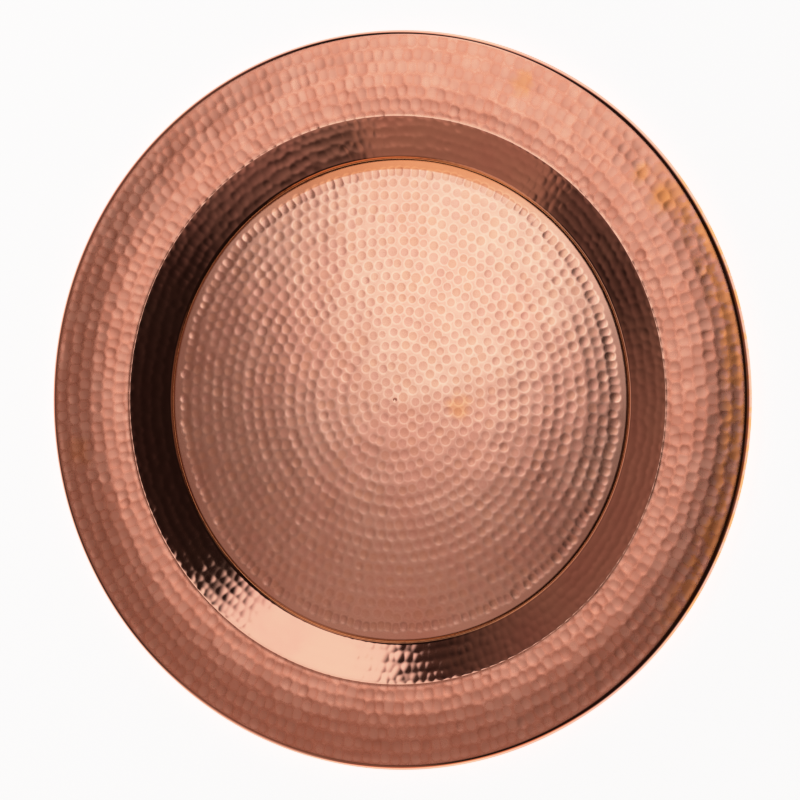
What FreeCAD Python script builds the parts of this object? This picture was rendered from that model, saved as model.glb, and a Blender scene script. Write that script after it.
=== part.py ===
"""Round hammered copper tray: one raised copper sheet with its edge rolled round a steel wire ring.

Frame: millimetres, +Z up, origin in the middle of the underside, so the tray stands on Z = 0.
The sheet is drawn smooth. Every driving size is a named cell of the "sizes" sheet.
"""

import FreeCAD, Part
import math
import os
import Sketcher

SIZES = {
    "outer_diameter": 450.0,  # over the rolled edge
    "mouth_diameter": 346.4,  # where the level brim starts to bend down into the well
    "floor_diameter": 294.8,  # where the flat floor ends at the foot of the wall
    "well_depth": 11.7,  # from the floor's top to the brim's top
    "sheet_thickness": 1.2,
    "foot_bend_radius": 1.5,  # inside radius of the crease round the floor
    "brim_bend_radius": 1.0,  # inside radius of the bend under the well's mouth
    "wire_diameter": 4.8,
    "wire_end_gap": 0.8,  # between the two cut ends of the wire
    "roll_wrap_degrees": 290.0,  # how far the edge goes round the wire, from its top
}

PARTS_FOLDER = "parts"
ORIGIN = -1  # the sketch's own origin, as Sketcher numbers it
START, END, CENTRE = 1, 2, 3


def add_size_sheet(doc):
    """Writes each driving size to a cell of its own, named by an alias."""
    sheet = doc.addObject("Spreadsheet::Sheet", "sizes")
    for row, (name, value) in enumerate(SIZES.items(), start=1):
        sheet.set(f"A{row}", name)
        sheet.set(f"B{row}", str(value))
        sheet.setAlias(f"B{row}", name)
    doc.recompute()
    return sheet


def origin_plane(body, role):
    """The body's own origin plane or axis with that role, such as XZ_Plane."""
    return next(feature for feature in body.Origin.OriginFeatures if feature.Role == role)


def polar(centre, radius, degrees):
    """The point at an angle and distance from a centre, in the sketch's plane."""
    angle = math.radians(degrees)
    return centre + FreeCAD.Vector(radius * math.cos(angle), radius * math.sin(angle), 0)


def arc(centre, radius, from_degrees, to_degrees):
    """A sketch arc that runs counter-clockwise between two angles."""
    circle = Part.Circle(centre, FreeCAD.Vector(0, 0, 1), radius)
    return Part.ArcOfCircle(circle, math.radians(from_degrees), math.radians(to_degrees))


class SheetSection:
    """Places the sheet's section near its final shape, which the sketch's constraints then fix."""

    def __init__(self, size):
        self.thickness = size["sheet_thickness"]
        self.foot_inner = size["foot_bend_radius"]
        self.foot_outer = self.foot_inner + self.thickness
        self.brim_inner = size["brim_bend_radius"]
        self.brim_outer = self.brim_inner + self.thickness
        self.roll_inner = size["wire_diameter"] / 2
        self.roll_outer = self.roll_inner + self.thickness
        self.brim_top = self.thickness + size["well_depth"]
        self.foot_centre = FreeCAD.Vector(
            size["floor_diameter"] / 2, self.thickness + self.foot_inner, 0
        )
        self.brim_centre = FreeCAD.Vector(
            size["mouth_diameter"] / 2, self.brim_top - self.brim_outer, 0
        )
        self.roll_centre = FreeCAD.Vector(
            size["outer_diameter"] / 2 - self.roll_outer, self.brim_top - self.roll_outer, 0
        )
        self.slope = self.wall_slope_degrees()
        self.roll_end = 90 - size["roll_wrap_degrees"]

    def wall_slope_degrees(self):
        """The wall's face is the common tangent of the foot's circle (above it) and the brim's (below)."""
        reach = self.brim_centre - self.foot_centre
        return math.degrees(
            math.atan2(reach.y, reach.x)
            + math.asin((self.foot_inner + self.brim_outer) / reach.Length)
        )

    def geometry(self):
        """The closed outline: out along the underside, round the wire, and back along the face."""
        foot_down, foot_up = -90, self.slope - 90
        brim_in, brim_up = 90 + self.slope, 90
        foot, brim, roll = self.foot_centre, self.brim_centre, self.roll_centre
        floor_edge = FreeCAD.Vector(foot.x, 0, 0)
        wall_low_under = polar(foot, self.foot_outer, foot_up)
        wall_high_under = polar(brim, self.brim_inner, brim_in)
        wall_low = polar(foot, self.foot_inner, foot_up)
        wall_high = polar(brim, self.brim_outer, brim_in)
        return {
            "floor_under": Part.LineSegment(FreeCAD.Vector(0, 0, 0), floor_edge),
            "foot_under": arc(foot, self.foot_outer, foot_down, foot_up),
            "wall_under": Part.LineSegment(wall_low_under, wall_high_under),
            "bend_under": arc(brim, self.brim_inner, brim_up, brim_in),
            "brim_under": Part.LineSegment(
                polar(brim, self.brim_inner, brim_up), polar(roll, self.roll_inner, brim_up)
            ),
            "roll_inside": arc(roll, self.roll_inner, self.roll_end, brim_up),
            "sheet_end": Part.LineSegment(
                polar(roll, self.roll_inner, self.roll_end),
                polar(roll, self.roll_outer, self.roll_end),
            ),
            "roll_outside": arc(roll, self.roll_outer, self.roll_end, brim_up),
            "brim_face": Part.LineSegment(
                polar(roll, self.roll_outer, brim_up), polar(brim, self.brim_outer, brim_up)
            ),
            "bend_face": arc(brim, self.brim_outer, brim_up, brim_in),
            "wall_face": Part.LineSegment(wall_high, wall_low),
            "foot_face": arc(foot, self.foot_inner, foot_down, foot_up),
            "floor_face": Part.LineSegment(
                FreeCAD.Vector(foot.x, self.thickness, 0), FreeCAD.Vector(0, self.thickness, 0)
            ),
            "middle": Part.LineSegment(
                FreeCAD.Vector(0, self.thickness, 0), FreeCAD.Vector(0, 0, 0)
            ),
        }


def join_outline(sketch, number):
    """Ties each piece of the outline to the next: smoothly at every bend, squarely at the sheet's end."""
    smooth = (
        ("floor_under", END, "foot_under", START),
        ("foot_under", END, "wall_under", START),
        ("wall_under", END, "bend_under", END),
        ("bend_under", START, "brim_under", START),
        ("brim_under", END, "roll_inside", END),
        ("roll_outside", END, "brim_face", START),
        ("brim_face", END, "bend_face", START),
        ("bend_face", END, "wall_face", START),
        ("wall_face", END, "foot_face", END),
        ("foot_face", START, "floor_face", START),
    )
    for first, first_end, second, second_end in smooth:
        sketch.addConstraint(
            Sketcher.Constraint("Tangent", number[first], first_end, number[second], second_end)
        )
    square = (
        ("roll_inside", START, "sheet_end", START),
        ("sheet_end", END, "roll_outside", START),
        ("floor_face", END, "middle", START),
        ("middle", END, "floor_under", START),
        ("foot_under", CENTRE, "foot_face", CENTRE),
        ("bend_under", CENTRE, "bend_face", CENTRE),
        ("roll_inside", CENTRE, "roll_outside", CENTRE),
    )
    for first, first_end, second, second_end in square:
        sketch.addConstraint(
            Sketcher.Constraint("Coincident", number[first], first_end, number[second], second_end)
        )
    sketch.addConstraint(
        Sketcher.Constraint("Coincident", number["floor_under"], START, ORIGIN, START)
    )
    sketch.addConstraint(Sketcher.Constraint("Vertical", number["middle"]))
    for level in ("floor_under", "floor_face", "brim_face"):
        sketch.addConstraint(Sketcher.Constraint("Horizontal", number[level]))
    sketch.addConstraint(
        Sketcher.Constraint("PointOnObject", number["roll_inside"], CENTRE, number["sheet_end"])
    )


def bind_constraint(sketch, name, constraint, expression):
    """Adds a named dimension to the sketch and ties it to cells of the size sheet."""
    index = sketch.addConstraint(constraint)
    sketch.renameConstraint(index, name)
    sketch.setExpression(f"Constraints.{name}", expression)


def bind_outline(sketch, number, section):
    """Gives the outline its dimensions: the radii of the bends and where each of them stands."""
    radii = {
        "foot_inner": ("foot_face", section.foot_inner, "sizes.foot_bend_radius"),
        "foot_outer": (
            "foot_under",
            section.foot_outer,
            "sizes.foot_bend_radius + sizes.sheet_thickness",
        ),
        "brim_inner": ("bend_under", section.brim_inner, "sizes.brim_bend_radius"),
        "brim_outer": (
            "bend_face",
            section.brim_outer,
            "sizes.brim_bend_radius + sizes.sheet_thickness",
        ),
        "roll_inner": ("roll_inside", section.roll_inner, "sizes.wire_diameter / 2"),
        "roll_outer": (
            "roll_outside",
            section.roll_outer,
            "sizes.wire_diameter / 2 + sizes.sheet_thickness",
        ),
    }
    for name, (edge, radius, expression) in radii.items():
        bind_constraint(
            sketch, name, Sketcher.Constraint("Radius", number[edge], radius), expression
        )
    roll_reach = "sizes.outer_diameter / 2 - sizes.wire_diameter / 2 - sizes.sheet_thickness"
    reaches = {
        "floor_radius": ("foot_face", section.foot_centre.x, "sizes.floor_diameter / 2"),
        "mouth_radius": ("bend_face", section.brim_centre.x, "sizes.mouth_diameter / 2"),
        "roll_radius": ("roll_inside", section.roll_centre.x, roll_reach),
    }
    for name, (edge, reach, expression) in reaches.items():
        constraint = Sketcher.Constraint(
            "DistanceX", ORIGIN, START, number[edge], CENTRE, reach
        )
        bind_constraint(sketch, name, constraint, expression)
    bind_constraint(
        sketch,
        "brim_height",
        Sketcher.Constraint(
            "DistanceY", ORIGIN, START, number["brim_face"], START, section.brim_top
        ),
        "sizes.sheet_thickness + sizes.well_depth",
    )
    bind_constraint(
        sketch,
        "roll_wrap",
        Sketcher.Constraint(
            "Angle", number["roll_inside"], math.radians(90 - section.roll_end)
        ),
        "sizes.roll_wrap_degrees * 1 deg",
    )


def make_copper_sheet(doc):
    """The whole sheet in one revolved section: floor, wall, brim and the edge rolled round the wire."""
    body = doc.addObject("PartDesign::Body", "CopperSheet")
    body.Label = "copper_sheet"
    sketch = body.newObject("Sketcher::SketchObject", "SheetSection")
    sketch.AttachmentSupport = [(origin_plane(body, "XZ_Plane"), "")]
    sketch.MapMode = "FlatFace"
    section = SheetSection(SIZES)
    number = {name: sketch.addGeometry(edge) for name, edge in section.geometry().items()}
    join_outline(sketch, number)
    bind_outline(sketch, number, section)
    doc.recompute()
    if not sketch.FullyConstrained:
        raise RuntimeError("the sheet's section isn't fully constrained")
    turn = body.newObject("PartDesign::Revolution", "SheetTurn")
    turn.Profile = sketch
    turn.ReferenceAxis = (sketch, ["V_Axis"])
    turn.Angle = 360
    return body


def make_rim_wire(doc):
    """A ring of round wire inside the rolled edge. Its two cut ends stand a little apart."""
    wire = doc.addObject("Part::Torus", "RimWire")
    wire.Label = "rim_wire"
    roll_radius = "sizes.outer_diameter / 2 - sizes.wire_diameter / 2 - sizes.sheet_thickness"
    wire.setExpression("Radius1", f"({roll_radius}) * 1 mm")
    wire.setExpression("Radius2", "sizes.wire_diameter / 2 * 1 mm")
    wire.setExpression("Angle3", f"360 deg - sizes.wire_end_gap / ({roll_radius}) * 1 rad")
    wire.setExpression(
        "Placement.Base.z", "(sizes.well_depth - sizes.wire_diameter / 2) * 1 mm"
    )
    return wire


def check_document(doc, sub_parts):
    """Stops if any object failed or a sub-part's shape is missing or broken."""
    for item in doc.Objects:
        if "Invalid" in item.State or "Error" in item.State:
            raise RuntimeError(f"{item.Label} failed: {item.State}")
    for part in sub_parts:
        if part.Shape.isNull() or not part.Shape.isValid():
            raise RuntimeError(f"{part.Label} has no valid shape")


def export_parts(sub_parts):
    """Writes one STEP file for each sub-part, named by its label."""
    os.makedirs(PARTS_FOLDER, exist_ok=True)
    for part in sub_parts:
        part.Shape.exportStep(os.path.join(PARTS_FOLDER, part.Label + ".step"))
        box = part.Shape.optimalBoundingBox()
        print(
            f"{part.Label}: {part.Shape.Volume:.0f} mm3, {len(part.Shape.Solids)} solid, "
            f"{box.XLength:.2f} x {box.YLength:.2f} x {box.ZLength:.2f} mm"
        )


def main():
    doc = FreeCAD.newDocument("copper_tray")
    add_size_sheet(doc)
    sub_parts = [make_copper_sheet(doc), make_rim_wire(doc)]
    doc.recompute()
    check_document(doc, sub_parts)
    export_parts(sub_parts)


main()
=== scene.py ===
import math
from collections import namedtuple

import bpy
import numpy as np
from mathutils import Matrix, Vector, kdtree


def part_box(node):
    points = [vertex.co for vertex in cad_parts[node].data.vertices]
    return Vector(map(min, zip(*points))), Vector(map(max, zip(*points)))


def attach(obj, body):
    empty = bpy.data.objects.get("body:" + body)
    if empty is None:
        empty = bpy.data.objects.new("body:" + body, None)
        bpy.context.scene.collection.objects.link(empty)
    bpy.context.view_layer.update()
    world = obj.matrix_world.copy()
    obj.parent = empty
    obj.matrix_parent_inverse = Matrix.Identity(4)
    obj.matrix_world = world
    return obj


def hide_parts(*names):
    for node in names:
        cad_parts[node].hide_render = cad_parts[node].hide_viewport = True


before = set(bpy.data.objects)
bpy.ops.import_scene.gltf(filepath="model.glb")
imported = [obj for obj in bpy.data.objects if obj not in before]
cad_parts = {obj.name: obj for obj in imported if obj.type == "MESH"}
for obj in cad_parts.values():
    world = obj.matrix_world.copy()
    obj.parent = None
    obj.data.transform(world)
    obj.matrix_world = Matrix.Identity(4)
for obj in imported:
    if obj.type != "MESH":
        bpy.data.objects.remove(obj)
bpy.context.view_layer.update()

SHEET_LOW, SHEET_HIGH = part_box("copper_sheet")
WIRE_LOW, WIRE_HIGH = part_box("rim_wire")

# Sizes in metres. Those that the frame's boxes give are worked out from them.
MM = 0.001
OUTER_RADIUS = (SHEET_HIGH.x - SHEET_LOW.x) / 2
BRIM_TOP = SHEET_HIGH.z
WIRE_RADIUS = (WIRE_HIGH.z - WIRE_LOW.z) / 2
ROLL_HEIGHT = (WIRE_HIGH.z + WIRE_LOW.z) / 2
SHEET = BRIM_TOP - WIRE_HIGH.z
ROLL_RADIUS = WIRE_RADIUS + SHEET
ROLL_REACH = OUTER_RADIUS - ROLL_RADIUS
FLOOR_RADIUS = 147.4 * MM
MOUTH_RADIUS = 173.2 * MM
FOOT_BEND = 1.5 * MM
BRIM_BEND = 1.0 * MM
ROLL_WRAP = math.radians(290)

# How far the beaten sheet stands off its plain section: the floor's height in the middle, the brim's
# slope at the mouth, and the shares of the brim's width between which that slope fades out.
FLOOR_CROWN = 2.3 * MM
BRIM_RISE = math.radians(6.2)
BRIM_RISE_FADE = (0.15, 0.75)
BRIM_SAMPLES = 200

# The mesh: how far apart its points stand. A ring's points may stand a little further apart.
FACE_STEP = 0.85 * MM
BEND_STEP = FACE_STEP / 3
UNDER_STEP = 1.4 * MM
ROLL_STEP = 0.65 * MM
RING_STRETCH = 1.3
POLE_SEGMENTS = 12
SHARP_EDGE = math.radians(60)

# Kinds of hammer blow: depth, radius, and how far apart they stand in their row. Out from the middle,
# the floor's blows grow deeper.
Blow = namedtuple("Blow", "depth radius spacing")
FLOOR_BLOW = Blow(0.045 * MM, 3.15 * MM, 6.7 * MM)
FLOOR_DEEPENING = 0.05 * MM
FLOOR_EDGE_BLOW = Blow(0.17 * MM, 3.3 * MM, 5.0 * MM)
WALL_BLOW = Blow(0.06 * MM, 3.4 * MM, 4.9 * MM)
MOUTH_BLOW = Blow(0.11 * MM, 3.5 * MM, 6.2 * MM)
BRIM_BLOW = Blow(0.12 * MM, 3.9 * MM, 6.4 * MM)
BRIM_EDGE_BLOW = Blow(0.08 * MM, 3.6 * MM, 6.4 * MM)

# The rows of blows, out from the middle. Margins are kept at the inner and the outer end.
FIRST_ROW = 6.2 * MM
ROW_PITCH = 6.55 * MM
FLOOR_MARGIN = 8.4 * MM
WALL_ROWS = 4
WALL_MARGINS = (3.6 * MM, 4.2 * MM)
MOUTH_ROW_SHIFT = 0.2 * MM
BRIM_ROWS = 6
BRIM_MARGINS = (6.2 * MM, 3.9 * MM)
FEWEST_BLOWS = 5

# How unevenly the blows fall: along their row as a share of their pitch, across it, and in size as a
# standard deviation, the least and the most. A tilt is a share of the pit's depth over its radius.
SEED = 71
ALONG_SCATTER = 0.08
ACROSS_SCATTER = 0.4 * MM
ROW_WANDER = 0.45 * MM
WANDER_LOBES = (2, 6)
WANDER_PHASE = 6.0
DEPTH_SPREAD = (0.25, 0.4, 1.7)
RADIUS_SPREAD = (0.07, 0.8, 1.2)
FLOOR_TILT = 0.12
BRIM_TILT = 0.30

# The form of the marks: how many blows can meet at a place, the pit's profile, and how softly pits join.
NEAREST_BLOWS = 7
PIT_POWER = 2.1
SOFTNESS = 0.012 * MM
LARGEST_EXPONENT = 60
FURTHEST_OUTSIDE = -0.5
ROLL_FADE = 3.0 * MM

# The sheet's unevenness, which is sunk so that it stays under the brim's top, and is slight on the wall.
SLOW_WAVES = 26
SLOW_WAVE_LENGTHS = (24 * MM, 90 * MM)
WAVE_HEIGHT = 0.045 * MM
RING_WAVES = 9
RING_WAVE_LENGTHS = (9 * MM, 26 * MM)
RING_WAVE_LOBES = (1, 4)
RING_WAVE_SWELL = 0.4
RING_WAVE_SWAY = 0.8
RING_WAVE_HEIGHT = 0.018 * MM
WAVE_SINK = 0.10 * MM
WALL_CALM = 0.12

CREASE_WIDTH = 2.4 * MM
CREASE_DEPTH = 0.5 * MM
CREASE_SPREAD = 0.3 * CREASE_WIDTH
PUNCH_WIDTH = 1.4 * MM
PUNCH_DEPTH = 0.35 * MM

# The underside repeats the face's blows at half their depth, from a level a little inside its section.
UNDER_SHARE = 0.5
UNDER_LEVEL = 0.3 * MM

# Widths of the orange tint at the foot and of the painted shade on the lip just inside the mouth, which
# dims the bend's highlight.
FOOT_TINT_WIDTH = 2.5 * MM
LIP_WIDTH = 1.0 * MM
LIP_SHIFT = 0.5 * MM

# The display's shoulder: scene brightness and what is shown for it.
SHOULDER_WHITE = 1.6
SHOULDER = ((0.3, 0.3), (0.55, 0.55), (0.8, 0.76), (1.0, 0.865), (1.25, 0.94))

VIEW_TILT = math.radians(19.4)
CAMERA_DISTANCE = 10.4 * OUTER_RADIUS
CAMERA_AIM = (0.0066, 0.0, BRIM_TOP)
CAMERA_LENS = 173.6
CAMERA_SENSOR = 36


def arc_points(centre, radius, start, end, step):
    """Points of a circle's arc in the section plane, both ends included."""
    count = max(2, math.ceil(abs(end - start) * radius / step))
    angles = np.linspace(start, end, count + 1)
    return np.stack(
        [centre[0] + radius * np.cos(angles), centre[1] + radius * np.sin(angles)], axis=1
    )


def line_points(start, end, step):
    """Evenly spaced points of a straight run, both ends included."""
    start, end = np.array(start), np.array(end)
    count = max(1, math.ceil(np.linalg.norm(end - start) / step))
    return start + np.linspace(0, 1, count + 1)[:, None] * (end - start)


def join_runs(runs):
    """One line of points from runs that each start where the last one ended."""
    return np.concatenate([runs[0]] + [run[1:] for run in runs[1:]])


def wall_slope(foot, brim, reach):
    """The wall's slope, from the centres of its two bends and the sum of their radii."""
    across, up = brim[0] - foot[0], brim[1] - foot[1]
    return math.atan2(up, across) + math.asin(reach / math.hypot(across, up))


def face_and_under():
    """The sheet's section as two lines of (radius, height) points, both from the middle outwards.
    Also gives how far along the face its floor, its wall and its brim end."""
    foot = (FLOOR_RADIUS, SHEET + FOOT_BEND)
    brim = (MOUTH_RADIUS, BRIM_TOP - SHEET - BRIM_BEND)
    slope = wall_slope(foot, brim, FOOT_BEND + BRIM_BEND + SHEET)
    roll = (ROLL_REACH, ROLL_HEIGHT)
    down, up = -math.pi / 2, math.pi / 2
    end = up - ROLL_WRAP

    def side(foot_radius, brim_radius, level, brim_level, step):
        foot_arc = arc_points(foot, foot_radius, down, down + slope, BEND_STEP)
        brim_arc = arc_points(brim, brim_radius, up + slope, up, BEND_STEP)
        bend = (FLOOR_RADIUS - CREASE_WIDTH, level)
        flat = [line_points((0, level), bend, step), line_points(bend, foot_arc[0], BEND_STEP)]
        wall = line_points(foot_arc[-1], brim_arc[0], step)
        brim_run = line_points(brim_arc[-1], (ROLL_REACH, brim_level), step)
        return [join_runs(flat), foot_arc, wall, brim_arc, brim_run]

    face = side(FOOT_BEND, BRIM_BEND + SHEET, SHEET, BRIM_TOP, FACE_STEP)
    lengths = np.cumsum([arc_length(run)[-1] for run in face])
    floor_end, mouth, brim_end = lengths[0], lengths[3], lengths[4]
    face.append(arc_points(roll, ROLL_RADIUS, up, end, ROLL_STEP))
    under = side(FOOT_BEND + SHEET, BRIM_BEND, 0, BRIM_TOP - SHEET, UNDER_STEP)
    under.append(arc_points(roll, WIRE_RADIUS, up, end, 2 * ROLL_STEP))
    return join_runs(face), join_runs(under), (floor_end, mouth, brim_end)


def beaten_height(radius):
    """How far the sheet stands off its plain section: a crowned floor, and a brim dished at the mouth."""
    crown = FLOOR_CROWN * np.clip(1 - (radius / FLOOR_RADIUS) ** 2, 0, 1)
    out = np.linspace(0, 1, BRIM_SAMPLES)
    share = np.interp(out, BRIM_RISE_FADE, (1, 0))
    rise = BRIM_RISE * share * share * (3 - 2 * share)
    climbed = np.cumsum(rise) * (ROLL_REACH - MOUTH_RADIUS) / len(out)
    place = (radius - MOUTH_RADIUS) / (ROLL_REACH - MOUTH_RADIUS)
    dip = climbed[-1] - np.interp(place, out, climbed)
    up_the_wall = np.clip((radius - FLOOR_RADIUS) / (MOUTH_RADIUS - FLOOR_RADIUS), 0, 1)
    return crown - dip * up_the_wall


def section_normals(points, sign):
    """Unit normals of a section line, to its left when sign is 1."""
    along = np.gradient(points, axis=0)
    along /= np.linalg.norm(along, axis=1)[:, None]
    return sign * np.stack([-along[:, 1], along[:, 0]], axis=1)


def arc_length(points):
    """How far along a line of points each of them stands."""
    steps = np.linalg.norm(np.diff(points, axis=0), axis=1)
    return np.concatenate([[0], np.cumsum(steps)])


def blow_rows(ends):
    """Each row's distance along the face, and its kind of blow."""
    floor_end, mouth, brim_end = ends
    last = floor_end - FLOOR_MARGIN
    count = round((last - FIRST_ROW) / ROW_PITCH)
    rows = []
    for reach in np.linspace(FIRST_ROW, last, count)[:-1]:
        depth = FLOOR_BLOW.depth + FLOOR_DEEPENING * reach / last
        rows.append((reach, FLOOR_BLOW._replace(depth=depth)))
    rows.append((last, FLOOR_EDGE_BLOW))
    wall_rows = np.linspace(floor_end + WALL_MARGINS[0], mouth - WALL_MARGINS[1], WALL_ROWS)
    rows += [(reach, WALL_BLOW) for reach in wall_rows]
    rows.append((mouth + MOUTH_ROW_SHIFT, MOUTH_BLOW))
    brim_rows = np.linspace(mouth + BRIM_MARGINS[0], brim_end - BRIM_MARGINS[1], BRIM_ROWS)
    rows += [(reach, BRIM_BLOW) for reach in brim_rows[:-1]]
    rows.append((brim_rows[-1], BRIM_EDGE_BLOW))
    return rows


def vary(random, spread, count):
    """Random factors about 1, from their standard deviation, the least and the most."""
    deviation, least, most = spread
    return np.clip(random.normal(1, deviation, count), least, most)


def blow_pattern(ends):
    """Places, depths, radii, tilts and tones of all blows, on the face laid flat as a disc."""
    random = np.random.default_rng(SEED)
    places, depths, radii, tilts, tones = [], [], [], [], []
    for reach, blow in blow_rows(ends):
        count = max(FEWEST_BLOWS, round(2 * math.pi * reach / blow.spacing))
        pitch = 2 * math.pi / count
        angles = (np.arange(count) + random.uniform(0, 1)) * pitch
        angles = angles + random.normal(0, ALONG_SCATTER, count) * pitch
        wander = np.sin(angles * random.integers(*WANDER_LOBES) + random.uniform(0, WANDER_PHASE))
        far = reach + random.normal(0, ACROSS_SCATTER, count) + ROW_WANDER * wander
        tilt = (FLOOR_TILT if reach < ends[0] else BRIM_TILT) * blow.depth / blow.radius
        places.append(np.stack([far * np.cos(angles), far * np.sin(angles)], axis=1))
        depths.append(blow.depth * vary(random, DEPTH_SPREAD, count))
        radii.append(blow.radius * vary(random, RADIUS_SPREAD, count))
        tilts.append(random.normal(0, tilt, (count, 2)))
        tones.append(random.normal(0, 1, count))
    return tuple(np.concatenate(part) for part in (places, depths, radii, tilts, tones))


def strike(where, blows):
    """At each flat place: how deep the blows sink the face, how far inside a pit it is (1 in the pit's
    middle, 0 on its rim or where it meets the next pit, less outside), and the nearest blow's tone."""
    places, depths, radii, tilts, tones = blows
    tree = kdtree.KDTree(len(places))
    for index, place in enumerate(places):
        tree.insert((place[0], place[1], 0), index)
    tree.balance()
    near = np.array(
        [[hit[1] for hit in tree.find_n((x, y, 0), NEAREST_BLOWS)] for x, y in where]
    )
    offset = where[:, None, :] - places[near]
    gap = np.linalg.norm(offset, axis=2) / radii[near]
    sunk = depths[near] * (1 - gap**PIT_POWER) + (tilts[near] * offset).sum(axis=2)
    exponent = np.clip(sunk / SOFTNESS, -LARGEST_EXPONENT, LARGEST_EXPONENT)
    depth = SOFTNESS * np.log1p(np.exp(exponent).sum(axis=1))
    gaps = np.sort(gap, axis=1)
    inside = np.minimum(1 - gaps[:, 0], gaps[:, 1] - gaps[:, 0])
    return depth, np.clip(inside, FURTHEST_OUTSIDE, 1), tones[near[:, 0]]


def slow_waves(where):
    """The sheet's own unevenness: long waves in seeded directions, about 1 high."""
    random = np.random.default_rng(SEED + 1)
    height = np.zeros(len(where))
    for _ in range(SLOW_WAVES):
        length = random.uniform(*SLOW_WAVE_LENGTHS)
        turn, phase = random.uniform(0, 2 * math.pi, 2)
        along = where[:, 0] * math.cos(turn) + where[:, 1] * math.sin(turn)
        height += np.sin(2 * math.pi * along / length + phase)
    return height / math.sqrt(SLOW_WAVES)


def ring_waves(run, angles):
    """Low rings left by one row of blows after another, which fade in and out round the tray."""
    random = np.random.default_rng(SEED + 2)
    height = np.zeros(len(run))
    for _ in range(RING_WAVES):
        length = random.uniform(*RING_WAVE_LENGTHS)
        phase, drift = random.uniform(0, 2 * math.pi, 2)
        lobes = random.integers(*RING_WAVE_LOBES)
        swell = 1 - RING_WAVE_SWELL + RING_WAVE_SWELL * np.sin(lobes * angles + drift)
        sway = RING_WAVE_SWAY * np.sin(angles + drift)
        height += swell * np.sin(2 * math.pi * run / length + phase + sway)
    return height / math.sqrt(RING_WAVES)


def face_sink(flat, reach, angles, fade, ends):
    """How far the waves, the crease and the punch mark lower the face, beside its blows."""
    floor_end, mouth, _ = ends
    on_wall = (reach > floor_end) & (reach < mouth)
    calm = np.where(on_wall, WALL_CALM, 1.0) * fade
    waves = WAVE_HEIGHT * slow_waves(flat) + RING_WAVE_HEIGHT * ring_waves(reach, angles)
    crease = CREASE_DEPTH * np.exp(-(((reach - floor_end) / CREASE_SPREAD) ** 2))
    punch = PUNCH_DEPTH * np.clip(1 - reach / (PUNCH_WIDTH / 2), 0, 1)
    return crease + punch + (WAVE_SINK - waves) * calm


def ring_segments(radius, step):
    """A ring's number of points: the pole's, doubled until they stand no further apart than the step."""
    count = POLE_SEGMENTS
    while 2 * math.pi * radius / count > RING_STRETCH * step:
        count *= 2
    return count


def lathe(section, steps):
    """Rings of points round the axis. Returns each ring's first index and count, and every point's
    section index and angle. The first and the last point of the section are the two poles."""
    counts = [ring_segments(radius, step) for (radius, _), step in zip(section, steps)]
    counts[0] = counts[-1] = 1
    starts = np.concatenate([[0], np.cumsum(counts)[:-1]])
    owner = np.repeat(np.arange(len(section)), counts)
    angles = np.concatenate([np.arange(count) * 2 * math.pi / count for count in counts])
    return starts, counts, owner, angles


def ring_faces(starts, counts):
    """Faces between neighbouring rings, where a ring has as many points as its neighbour, twice or half."""
    faces = []
    for ring in range(len(counts) - 1):
        a, b = starts[ring], starts[ring + 1]
        n, m = counts[ring], counts[ring + 1]
        if n == 1:
            faces += [(a, b + i, b + (i + 1) % m) for i in range(m)]
        elif m == 1:
            faces += [(a + i, b, a + (i + 1) % n) for i in range(n)]
        elif n == m:
            i = np.arange(n)
            j = (i + 1) % n
            faces += np.stack([a + i, b + i, b + j, a + j], axis=1).tolist()
        elif m == 2 * n:
            i = np.arange(n)
            j = (i + 1) % n
            faces += np.stack([a + i, b + 2 * i, b + 2 * i + 1], axis=1).tolist()
            faces += np.stack([a + i, b + 2 * i + 1, a + j], axis=1).tolist()
            faces += np.stack([a + j, b + 2 * i + 1, b + (2 * i + 2) % m], axis=1).tolist()
        elif n == 2 * m:
            i = np.arange(m)
            j = (i + 1) % m
            faces += np.stack([b + i, a + 2 * i + 1, a + 2 * i], axis=1).tolist()
            faces += np.stack([b + i, b + j, a + 2 * i + 1], axis=1).tolist()
            faces += np.stack([b + j, a + (2 * i + 2) % n, a + 2 * i + 1], axis=1).tolist()
        else:
            raise ValueError(f"rings {ring} and {ring + 1} have {n} and {m} points")
    return faces


def hammered_sheet():
    """The whole sheet as one closed mesh, with its hammer marks as real depth."""
    face, under, ends = face_and_under()
    section = np.concatenate([face, under[::-1]])
    normals = np.concatenate([section_normals(face, 1), section_normals(under, -1)[::-1]])
    run = np.concatenate([arc_length(face), arc_length(under)[::-1]])
    is_face = np.arange(len(section)) < len(face)
    starts, counts, owner, angles = lathe(section, np.where(is_face, FACE_STEP, UNDER_STEP))
    reach, top = run[owner], is_face[owner]
    flat = np.stack([reach * np.cos(angles), reach * np.sin(angles)], axis=1)
    fade = np.clip((ends[2] - reach) / ROLL_FADE, 0, 1)
    depth, pit, tone = strike(flat, blow_pattern(ends))
    depth *= fade
    face_inward = depth + face_sink(flat, reach, angles, fade, ends)
    under_inward = UNDER_SHARE * (UNDER_LEVEL * fade - depth)
    shift = -np.where(top, face_inward, under_inward)[:, None] * normals[owner]
    radius = section[owner, 0] + shift[:, 0]
    height = section[owner, 1] + shift[:, 1] + beaten_height(section[owner, 0])
    height = np.clip(height, 0, BRIM_TOP)
    points = np.stack([radius * np.cos(angles), radius * np.sin(angles), height], axis=1)
    mesh = bpy.data.meshes.new("hammered_sheet")
    mesh.from_pydata(points.tolist(), [], ring_faces(starts, counts))
    mesh.validate()
    mesh.shade_smooth()
    mesh.set_sharp_from_angle(angle=SHARP_EDGE)
    add_field(mesh, "pit", pit)
    add_field(mesh, "tone", tone)
    add_place_fields(mesh, reach, top, ends)
    sheet = bpy.data.objects.new("hammered_sheet", mesh)
    bpy.context.scene.collection.objects.link(sheet)
    return sheet


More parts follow.
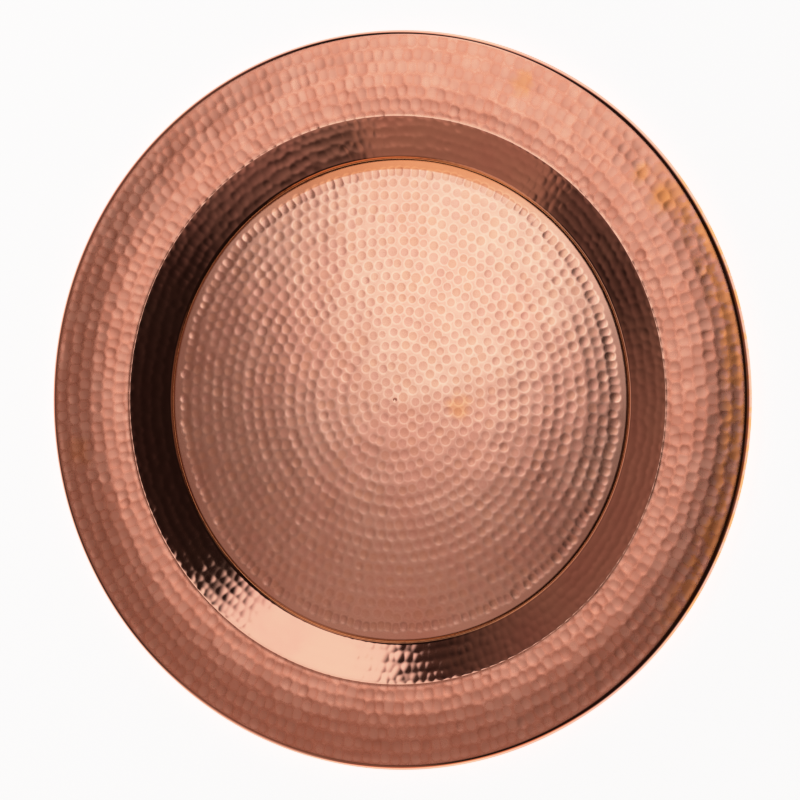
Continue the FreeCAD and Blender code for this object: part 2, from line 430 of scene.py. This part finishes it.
def add_place_fields(mesh, reach, top, ends):
    """Tells the material where the foot, the wall, the lip of the mouth that takes painted shade, and the
    rolled edge are.
    """
    floor_end, mouth, brim_end = ends
    add_field(mesh, "foot", np.exp(-np.abs(reach - floor_end) / FOOT_TINT_WIDTH) * top)
    add_field(mesh, "wall", smooth_band(reach, floor_end, mouth) * top)
    add_field(mesh, "roll", np.clip((reach - brim_end) / MM, 0, 1))
    # Painted shade: the band on the bend just inside the mouth, which the material darkens.
    add_field(mesh, "painted_lip_shade", np.exp(-(((reach - mouth + LIP_SHIFT) / LIP_WIDTH) ** 2)) * top)


def smooth_band(reach, low, high):
    """1 between two distances along the face, and 0 outside them, over a millimetre."""
    return np.clip((reach - low) / MM + 0.5, 0, 1) * np.clip((high - reach) / MM + 0.5, 0, 1)


def add_field(mesh, name, values):
    """A number for each point of the mesh, which its material reads."""
    field = mesh.attributes.new(name, "FLOAT", "POINT")
    field.data.foreach_set("value", values.astype(np.float32))


class Nodes:
    """A material's nodes, built by short calls. Each value given is a number, a tuple or a socket."""

    def __init__(self, name):
        self.material = bpy.data.materials.new(name)
        self.material.use_nodes = True
        self.tree = self.material.node_tree
        self.shader = self.tree.nodes["Principled BSDF"]
        self.place = self.tree.nodes.new("ShaderNodeTexCoord").outputs["Object"]

    def put(self, value, socket):
        if isinstance(value, bpy.types.NodeSocket):
            self.tree.links.new(value, socket)
        else:
            socket.default_value = value

    def finish(self, **values):
        """Sets the shader's own sockets, such as Base_Color."""
        for name, value in values.items():
            self.put(value, self.shader.inputs[name.replace("_", " ")])
        return self.material

    def math(self, operation, first, second):
        node = self.tree.nodes.new("ShaderNodeMath")
        node.operation = operation
        self.put(first, node.inputs[0])
        self.put(second, node.inputs[1])
        return node.outputs[0]

    def vector(self, operation, first, second=(0, 0, 0)):
        node = self.tree.nodes.new("ShaderNodeVectorMath")
        node.operation = operation
        self.put(first, node.inputs[0])
        self.put(second, node.inputs[1])
        return node.outputs["Value" if operation in ("LENGTH", "DISTANCE") else "Vector"]

    def split(self, vector):
        node = self.tree.nodes.new("ShaderNodeSeparateXYZ")
        self.put(vector, node.inputs[0])
        return node.outputs

    def join(self, x, y, z):
        node = self.tree.nodes.new("ShaderNodeCombineXYZ")
        for value, socket in zip((x, y, z), node.inputs):
            self.put(value, socket)
        return node.outputs[0]

    def from_axis(self):
        """The distance from the tray's axis."""
        return self.vector("LENGTH", self.vector("MULTIPLY", self.place, (1, 1, 0)))

    def noise(self, vector, scale, detail=2.0, roughness=0.5):
        node = self.tree.nodes.new("ShaderNodeTexNoise")
        self.put(vector, node.inputs["Vector"])
        for name, value in (("Scale", scale), ("Detail", detail), ("Roughness", roughness)):
            node.inputs[name].default_value = value
        return node.outputs["Fac"]

    def rise(self, value, low, high, start=0.0, end=1.0):
        """Goes smoothly from start to end as the value goes from low to high."""
        node = self.tree.nodes.new("ShaderNodeMapRange")
        node.interpolation_type = "SMOOTHSTEP"
        limits = {"From Min": low, "From Max": high, "To Min": start, "To Max": end}
        for name, number in limits.items():
            node.inputs[name].default_value = number
        self.put(value, node.inputs["Value"])
        return node.outputs["Result"]

    def mix(self, share, first, second):
        """One colour laid over another."""
        node = self.tree.nodes.new("ShaderNodeMix")
        node.data_type = "RGBA"
        self.put(share, node.inputs["Factor"])
        self.put(first, node.inputs["A"])
        self.put(second, node.inputs["B"])
        return node.outputs["Result"]

    def field(self, name):
        node = self.tree.nodes.new("ShaderNodeAttribute")
        node.attribute_name = name
        return node.outputs["Fac"]

    def bump(self, height, strength, distance):
        node = self.tree.nodes.new("ShaderNodeBump")
        node.inputs["Strength"].default_value = strength
        node.inputs["Distance"].default_value = distance
        self.put(height, node.inputs["Height"])
        return node.outputs["Normal"]


COPPER = (0.93, 0.46, 0.33, 1)
COPPER_PINK = (0.90, 0.40, 0.30, 1)
# Rubbed copper, and also the colour of the painted highlights on the ridges and in the brim's pit middles.
COPPER_WORN_AND_HIGHLIGHT = (0.95, 0.54, 0.41, 1)
COPPER_ORANGE = (0.93, 0.41, 0.24, 1)
COPPER_HEATED = (1.0, 0.37, 0.12, 1)
COPPER_FOOT = (0.66, 0.22, 0.08, 1)
COPPER_BRIM = (0.94, 0.40, 0.28, 1)
COPPER_BRIM_DEEP = (0.85, 0.31, 0.20, 1)
# The colour of the painted shade on the seams between the brim's pits.
COPPER_SEAM_SHADE = (0.72, 0.26, 0.16, 1)
# Tarnish for the mottle, and also the colour of the painted shade on the lip of the mouth.
COPPER_TARNISH_AND_SHADE = (0.50, 0.27, 0.19, 1)
STEEL = (0.42, 0.41, 0.39, 1)
STEEL_RUST = (0.20, 0.11, 0.07, 1)

# How much of each paint is laid over the one before it.
LAND_SHARE = 0.5
PIT_SHARE = 0.35
# Paler ridges: partly rubbed wear, partly a painted highlight.
RIDGE_WEAR_AND_HIGHLIGHT_SHARE = 0.3
BRIM_SHARE = 0.85
# Used for the brim's worn clouds and for the painted highlight in its pits' middles.
BRIM_WEAR_AND_HIGHLIGHT_SHARE = 0.2
# Painted shade on the seams between the brim's pits.
SEAM_SHADE_SHARE = 0.5
MOTTLE_SHARE = 0.08
# Painted shade on the lip of the mouth, which dims the bend's highlight.
LIP_SHADE_SHARE = 0.5
EDGE_HEAT_SHARE = 0.8
FAR_FOOT_SHARE = 0.85
FOOT_SHARE = 0.9

# How rough the copper is, what is added to that on its ridges and its brim and by its mottle and its
# lines, and how much of it is left where it is burnished.
LAND_ROUGHNESS = 0.21
PIT_ROUGHNESS = 0.24
RIDGE_ROUGHNESS = -0.04
BRIM_ROUGHNESS = 0.05
MOTTLE_ROUGHNESS = (-0.015, 0.015)
LINE_ROUGHNESS = (-0.012, 0.016)
BURNISHED_SHARE = 0.28
STEEL_ROUGHNESS = (0.32, 0.65)

# How fine each noise is, in spots to the metre, and between which of its values it sets in.
CLOUD_SCALE = 14
CLOUDS = (0.35, 0.65)
BRIM_CLOUDS = (0.45, 0.68)
MOTTLE_SCALE = 70
MOTTLE = (0.3, 0.7)
MOTTLE_TARNISH = (0.60, 0.78)
RAGGED_SCALE = 140
RAGGED = (0.42, 0.58)
RUST_SCALE = 220
RUST = (0.5, 0.68)
RUST_ROUGHENS = (0.4, 0.7)

# Between which values of its field each part sets in: pits, the painted highlight in their middles, both
# sides of the ridge between two pits, the pits' own tones, and the orange foot.
IN_PIT = (0.0, 0.3)
PIT_MIDDLE_HIGHLIGHT = (0.12, 0.55)
RIDGE_OUTSIDE = (-0.2, 0.0)
RIDGE_INSIDE = (0.04, 0.26)
FLOOR_TONES = (-1.6, 1.8)
BRIM_TONES = (-1.6, 1.6)
FOOT = (0.45, 0.85)

# Polishing lines, in lines to the metre: outwards for those that run round, and along x, y and z.
RING_LINES = 900
LINES_ACROSS = (60, 2400, 60)
LINES_DOWN = (1900, 90, 60)
WIRE_LINES = (60, 60, 2600)
LINES = (0.35, 0.65)
RING_LINE_SHARE = 0.4
CROSS_LINE_SHARE = 0.3
LINE_BUMP = (0.06, 0.02 * MM)
WIRE_BUMP = (0.3, 0.05 * MM)

# Between these distances the tints set in: from the axis, to the right, and to the far side.
HEATED_EDGE = (0.205, 0.213)
HEATED_SIDE = (0.155, 0.195)
FAR_SIDE = (0.095, 0.142)
FAR_FOOT = (FLOOR_RADIUS - 7 * MM, FLOOR_RADIUS - 6 * MM)
FAR_FOOT_END = FLOOR_RADIUS + 2 * MM

# Where the torch left the metal more orange: place, reach in metres, strength. Each patch fades out
# between these shares of its reach.
HEAT_FADE = (1.3, 0.6)
HEAT_TINTS = (
    ((0.172, 0.120, 0), 0.016, 0.9),
    ((0.158, 0.134, 0), 0.010, 0.7),
    ((0.084, 0.190, 0), 0.012, 0.6),
    ((0.041, -0.005, 0), 0.013, 0.5),
    ((-0.207, -0.033, 0), 0.016, 0.35),
)


CopperMasks = namedtuple("CopperMasks", "burnished beaten pit in_pit ridge brim tone clouds mottle")


def copper_masks(n):
    """Where the copper differs: by its working, by its pits and their ridges, and by two noises."""
    pit = n.field("pit")
    burnished = n.math("MAXIMUM", n.field("wall"), n.field("roll"))
    beaten = n.rise(burnished, 0, 1, 1, 0)
    by_rim = n.math("MULTIPLY", n.rise(pit, *RIDGE_OUTSIDE), n.rise(pit, *RIDGE_INSIDE, 1, 0))
    outside_mouth = n.rise(n.from_axis(), MOUTH_RADIUS - MM, MOUTH_RADIUS + MM)
    return CopperMasks(
        burnished=burnished,
        beaten=beaten,
        pit=pit,
        in_pit=n.math("MULTIPLY", n.rise(pit, *IN_PIT), beaten),
        ridge=n.math("MULTIPLY", by_rim, beaten),
        brim=n.math("MULTIPLY", outside_mouth, beaten),
        tone=n.field("tone"),
        clouds=n.noise(n.place, CLOUD_SCALE, 4, 0.6),
        mottle=n.noise(n.place, MOTTLE_SCALE, 3),
    )


def copper_tints(n, colour):
    """Orange heat patches, and an orange line in the crease that widens at the far side of the floor."""
    ragged = n.noise(n.place, RAGGED_SCALE, 3)
    level_place = n.vector("MULTIPLY", n.place, (1, 1, 0))
    for place, reach, strength in HEAT_TINTS:
        away = n.vector("DISTANCE", level_place, place)
        away = n.math("ADD", away, n.math("MULTIPLY", ragged, reach))
        outer, inner = (share * reach for share in HEAT_FADE)
        colour = n.mix(n.rise(away, outer, inner, 0, strength), colour, COPPER_HEATED)
    x, y, _ = n.split(n.place)
    radius = n.from_axis()
    edge = n.math("MULTIPLY", n.rise(radius, *HEATED_EDGE), n.rise(x, *HEATED_SIDE))
    edge = n.math("MULTIPLY", edge, n.rise(ragged, *RAGGED, 0, EDGE_HEAT_SHARE))
    colour = n.mix(edge, colour, COPPER_HEATED)
    band = n.math("MULTIPLY", n.rise(radius, *FAR_FOOT), n.rise(y, *FAR_SIDE))
    band = n.math("MULTIPLY", band, n.rise(radius, FAR_FOOT_END, FLOOR_RADIUS, 0, FAR_FOOT_SHARE))
    colour = n.mix(band, colour, COPPER_FOOT)
    return n.mix(n.rise(n.field("foot"), *FOOT, 0, FOOT_SHARE), colour, COPPER_FOOT)


def fine_lines(n):
    """Hair-fine polishing lines that run round the tray, and a few that cross it."""
    x, y, _ = n.split(n.place)
    radius = n.from_axis()
    rings = n.math("MULTIPLY", radius, RING_LINES)
    round_place = n.join(n.math("DIVIDE", x, radius), n.math("DIVIDE", y, radius), rings)
    round_lines = n.noise(round_place, 3.0, 3)
    across = n.noise(n.vector("MULTIPLY", n.place, LINES_ACROSS), 1.0, 2)
    down = n.noise(n.vector("MULTIPLY", n.place, LINES_DOWN), 1.0, 2)
    crossing = n.math("MULTIPLY", n.math("ADD", across, down), CROSS_LINE_SHARE)
    return n.math("ADD", n.math("MULTIPLY", round_lines, RING_LINE_SHARE), crossing)


def brim_colour(n, masks):
    """The brim's copper: each pit has its own tone and a paler middle, which is a painted highlight, and
    the seams between are darker with painted shade.
    """
    colour = n.mix(n.rise(masks.tone, *BRIM_TONES), COPPER_BRIM_DEEP, COPPER_BRIM)
    colour = n.mix(n.rise(masks.clouds, *BRIM_CLOUDS, 0, BRIM_WEAR_AND_HIGHLIGHT_SHARE), colour, COPPER_WORN_AND_HIGHLIGHT)
    # Painted highlight: the pits' middles are paler.
    colour = n.mix(n.rise(masks.pit, *PIT_MIDDLE_HIGHLIGHT, 0, BRIM_WEAR_AND_HIGHLIGHT_SHARE), colour, COPPER_WORN_AND_HIGHLIGHT)
    # Painted shade: the seams between the pits are darker.
    return n.mix(n.math("MULTIPLY", masks.ridge, SEAM_SHADE_SHARE), colour, COPPER_SEAM_SHADE)


def copper_colour(n, masks):
    """Pale rubbed lands, ridges paler by rubbing and a painted highlight, pinker pits that differ a little,
    the brim, painted shade on the lip of the mouth, and heat tints.
    """
    cloudy = n.rise(masks.clouds, *CLOUDS)
    land_colour = n.mix(cloudy, COPPER_WORN_AND_HIGHLIGHT, COPPER)
    pit_colour = n.mix(n.rise(masks.tone, *FLOOR_TONES), COPPER_PINK, COPPER_ORANGE)
    colour = n.mix(cloudy, COPPER, COPPER_PINK)
    colour = n.mix(n.math("MULTIPLY", masks.beaten, LAND_SHARE), colour, land_colour)
    colour = n.mix(n.math("MULTIPLY", masks.in_pit, PIT_SHARE), colour, pit_colour)
    # Paler ridges: partly rubbed wear, partly a painted highlight.
    colour = n.mix(n.math("MULTIPLY", masks.ridge, RIDGE_WEAR_AND_HIGHLIGHT_SHARE), colour, COPPER_WORN_AND_HIGHLIGHT)
    colour = n.mix(n.math("MULTIPLY", masks.brim, BRIM_SHARE), colour, brim_colour(n, masks))
    colour = n.mix(n.rise(masks.mottle, *MOTTLE_TARNISH, 0, MOTTLE_SHARE), colour, COPPER_TARNISH_AND_SHADE)
    # Painted shade on the bend just inside the mouth, which dims its highlight.
    colour = n.mix(n.math("MULTIPLY", n.field("painted_lip_shade"), LIP_SHADE_SHARE), colour, COPPER_TARNISH_AND_SHADE)
    return copper_tints(n, colour)


def copper_roughness(n, masks, lines):
    """Rougher in the pits and on the brim, smoother on the floor's ridges, and burnished on the wall."""
    floor_ridge = n.math("MULTIPLY", masks.ridge, n.rise(masks.brim, 0, 1, 1, 0))
    rough = n.rise(masks.in_pit, 0, 1, LAND_ROUGHNESS, PIT_ROUGHNESS)
    changes = (
        n.rise(masks.mottle, *MOTTLE, *MOTTLE_ROUGHNESS),
        n.rise(floor_ridge, 0, 1, 0, RIDGE_ROUGHNESS),
        n.rise(masks.brim, 0, 1, 0, BRIM_ROUGHNESS),
        n.rise(lines, *LINES, *LINE_ROUGHNESS),
    )
    for change in changes:
        rough = n.math("ADD", rough, change)
    return n.math("MULTIPLY", rough, n.rise(masks.burnished, 0, 1, 1.0, BURNISHED_SHARE))


def copper_material():
    """Beaten copper with polishing lines, burnished on its wall and its rolled edge."""
    n = Nodes("hammered_copper")
    masks = copper_masks(n)
    lines = fine_lines(n)
    return n.finish(
        Base_Color=copper_colour(n, masks),
        Roughness=copper_roughness(n, masks, lines),
        Metallic=1.0,
        Normal=n.bump(lines, *LINE_BUMP),
    )


def steel_material():
    """Drawn steel wire, grey with brown where it has begun to rust."""
    n = Nodes("wire_steel")
    spots = n.noise(n.place, RUST_SCALE, 4, 0.6)
    drawn = n.noise(n.vector("MULTIPLY", n.place, WIRE_LINES), 1.0, 2)
    return n.finish(
        Base_Color=n.mix(n.rise(spots, *RUST), STEEL, STEEL_RUST),
        Roughness=n.rise(spots, *RUST_ROUGHENS, *STEEL_ROUGHNESS),
        Metallic=1.0,
        Normal=n.bump(drawn, *WIRE_BUMP),
    )


# The stage's floor: half its width, its two greys, and how much light it gives off by itself.
GROUND_REACH = 6.0
GROUND_PALE = (0.86, 0.86, 0.86, 1)
GROUND_DULL = (0.83, 0.83, 0.83, 1)
GROUND_GLOW = 1.15
GROUND_ROUGHNESS = 0.9


def ground_material():
    """A plain pale floor, so evenly lit that it shows nearly white."""
    n = Nodes("ground")
    return n.finish(
        Base_Color=n.mix(n.noise(n.place, 3), GROUND_PALE, GROUND_DULL),
        Roughness=GROUND_ROUGHNESS,
        Emission_Color=(1, 1, 1, 1),
        Emission_Strength=GROUND_GLOW,
    )


def add_ground():
    """A wide level square that belongs to the stage, not to the tray."""
    mesh = bpy.data.meshes.new("ground")
    signs = ((-1, -1), (1, -1), (1, 1), (-1, 1))
    corners = [(x * GROUND_REACH, y * GROUND_REACH, 0) for x, y in signs]
    mesh.from_pydata(corners, [], [(0, 1, 2, 3)])
    ground = bpy.data.objects.new("ground", mesh)
    bpy.context.scene.collection.objects.link(ground)
    mesh.materials.append(ground_material())


# The studio's lights: name, centre, size, turn, fade as a share of the radius, radiance and colour.
SOFTBOXES = (
    ("main_light", (-0.25, 0.44, 1.0), (0.59, 1.30), math.radians(-7), 0.42, 1.20, (1, 1, 1)),
    ("core_light", (-0.27, 0.12, 0.99), (0.56, 0.5), 0, 0.95, 0.34, (1, 1, 1)),
    ("left_fill", (-0.32, -0.33, 1.01), (0.9, 0.66), 0, 0.9, 0.31, (1, 0.74, 0.66)),
    ("wide_fill", (-0.70, -0.08, 1.02), (1.9, 1.9), 0, 0.9, 0.20, (1, 0.70, 0.60)),
)


def add_softbox(name, centre, size, turn, fade, radiance, colour):
    """A level light whose brightness falls off smoothly from an oval middle to its edges."""
    light = bpy.data.lights.new(name, "AREA")
    light.shape = "RECTANGLE"
    light.size, light.size_y = size
    light.energy = radiance * math.pi * size[0] * size[1]
    light.color = colour
    light.use_nodes = True
    nodes, links = light.node_tree.nodes, light.node_tree.links
    place = nodes.new("ShaderNodeNewGeometry").outputs["Parametric"]
    centred = nodes.new("ShaderNodeVectorMath")
    centred.operation = "MULTIPLY_ADD"
    links.new(place, centred.inputs[0])
    centred.inputs[1].default_value = (2, 2, 0)
    centred.inputs[2].default_value = (-1, -1, 0)
    away = nodes.new("ShaderNodeVectorMath")
    away.operation = "LENGTH"
    links.new(centred.outputs[0], away.inputs[0])
    share = nodes.new("ShaderNodeMapRange")
    share.interpolation_type = "SMOOTHSTEP"
    links.new(away.outputs["Value"], share.inputs["Value"])
    share.inputs["From Min"].default_value = 1.0
    share.inputs["From Max"].default_value = 1.0 - fade
    links.new(share.outputs["Result"], nodes["Emission"].inputs["Strength"])
    lamp = bpy.data.objects.new(name, light)
    bpy.context.scene.collection.objects.link(lamp)
    lamp.location = centre
    lamp.rotation_euler = (0, 0, turn)
    lamp.visible_camera = False


# The room as the metal mirrors it: direction, colour, and the angles between which each glow fades out.
ROOM_GLOWS = (
    ((-0.48, -0.60, 0.64), (0.21, 0.14, 0.11), 13, 17),
    ((-0.88, 0.32, 0.38), (0.17, 0.11, 0.09), 10, 34),
    ((0.0, 0.97, 0.15), (0.7, 0.62, 0.56), 10, 30),
    ((-0.1, -0.97, 0.2), (0.8, 0.46, 0.28), 14, 28),
    ((0.87, 0.0, 0.5), (0.16, 0.10, 0.075), 8, 32),
    ((-0.66, -0.66, 0.36), (0.50, 0.40, 0.34), 6, 17),
    ((0.68, 0.68, 0.26), (0.40, 0.37, 0.34), 8, 22),
)
ROOM_DARK = (0.014, 0.010, 0.009)
HORIZON = (0.85, 0.83, 0.80)
HORIZON_FADE = (0.38, 0.06)


def add_world():
    """Dim warm surroundings: a dark ceiling, a pale horizon and a few soft glows."""
    world = bpy.data.worlds.new("studio")
    bpy.context.scene.world = world
    world.use_nodes = True
    nodes, links = world.node_tree.nodes, world.node_tree.links
    direction = nodes.new("ShaderNodeTexCoord").outputs["Generated"]

    def ramp(value, low, high):
        rise = nodes.new("ShaderNodeMapRange")
        rise.interpolation_type = "SMOOTHSTEP"
        links.new(value, rise.inputs["Value"])
        rise.inputs["From Min"].default_value = low
        rise.inputs["From Max"].default_value = high
        return rise.outputs["Result"]

    def add_light(total, share, colour):
        scaled = nodes.new("ShaderNodeVectorMath")
        scaled.operation = "SCALE"
        scaled.inputs[0].default_value = colour
        links.new(share, scaled.inputs["Scale"])
        added = nodes.new("ShaderNodeVectorMath")
        links.new(scaled.outputs[0], added.inputs[0])
        if total is None:
            added.inputs[1].default_value = ROOM_DARK
        else:
            links.new(total, added.inputs[1])
        return added.outputs[0]

    split = nodes.new("ShaderNodeSeparateXYZ")
    links.new(direction, split.inputs[0])
    total = add_light(None, ramp(split.outputs["Z"], *HORIZON_FADE), HORIZON)
    for towards, colour, inner, outer in ROOM_GLOWS:
        dot = nodes.new("ShaderNodeVectorMath")
        dot.operation = "DOT_PRODUCT"
        links.new(direction, dot.inputs[0])
        dot.inputs[1].default_value = Vector(towards).normalized()
        near = math.cos(math.radians(inner))
        far = math.cos(math.radians(outer))
        total = add_light(total, ramp(dot.outputs["Value"], far, near), colour)
    links.new(total, nodes["Background"].inputs["Color"])


def add_camera():
    """Looks down at the tray from its right, a little off the vertical."""
    camera = bpy.data.objects.new("camera", bpy.data.cameras.new("camera"))
    bpy.context.scene.collection.objects.link(camera)
    camera.data.lens = CAMERA_LENS
    camera.data.sensor_width = CAMERA_SENSOR
    away = Vector((math.sin(VIEW_TILT), 0, math.cos(VIEW_TILT))) * CAMERA_DISTANCE
    camera.location = Vector(CAMERA_AIM) + away
    camera.rotation_euler = (0, VIEW_TILT, 0)
    bpy.context.scene.camera = camera


def set_view():
    """Plain display colours, with a shoulder that holds the detail of bright copper."""
    view = bpy.context.scene.view_settings
    view.view_transform = "Standard"
    view.use_curve_mapping = True
    mapping = view.curve_mapping
    mapping.white_level = (SHOULDER_WHITE,) * 3
    curve = mapping.curves[3]
    for scene_value, shown in SHOULDER:
        curve.points.new(scene_value / SHOULDER_WHITE, shown)
    mapping.update()


add_camera()
sheet = hammered_sheet()
sheet.data.materials.append(copper_material())
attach(sheet, "root")
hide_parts("copper_sheet")
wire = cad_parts["rim_wire"]
wire.data.materials.clear()
wire.data.materials.append(steel_material())
add_ground()
add_world()
for softbox in SOFTBOXES:
    add_softbox(*softbox)
set_view()
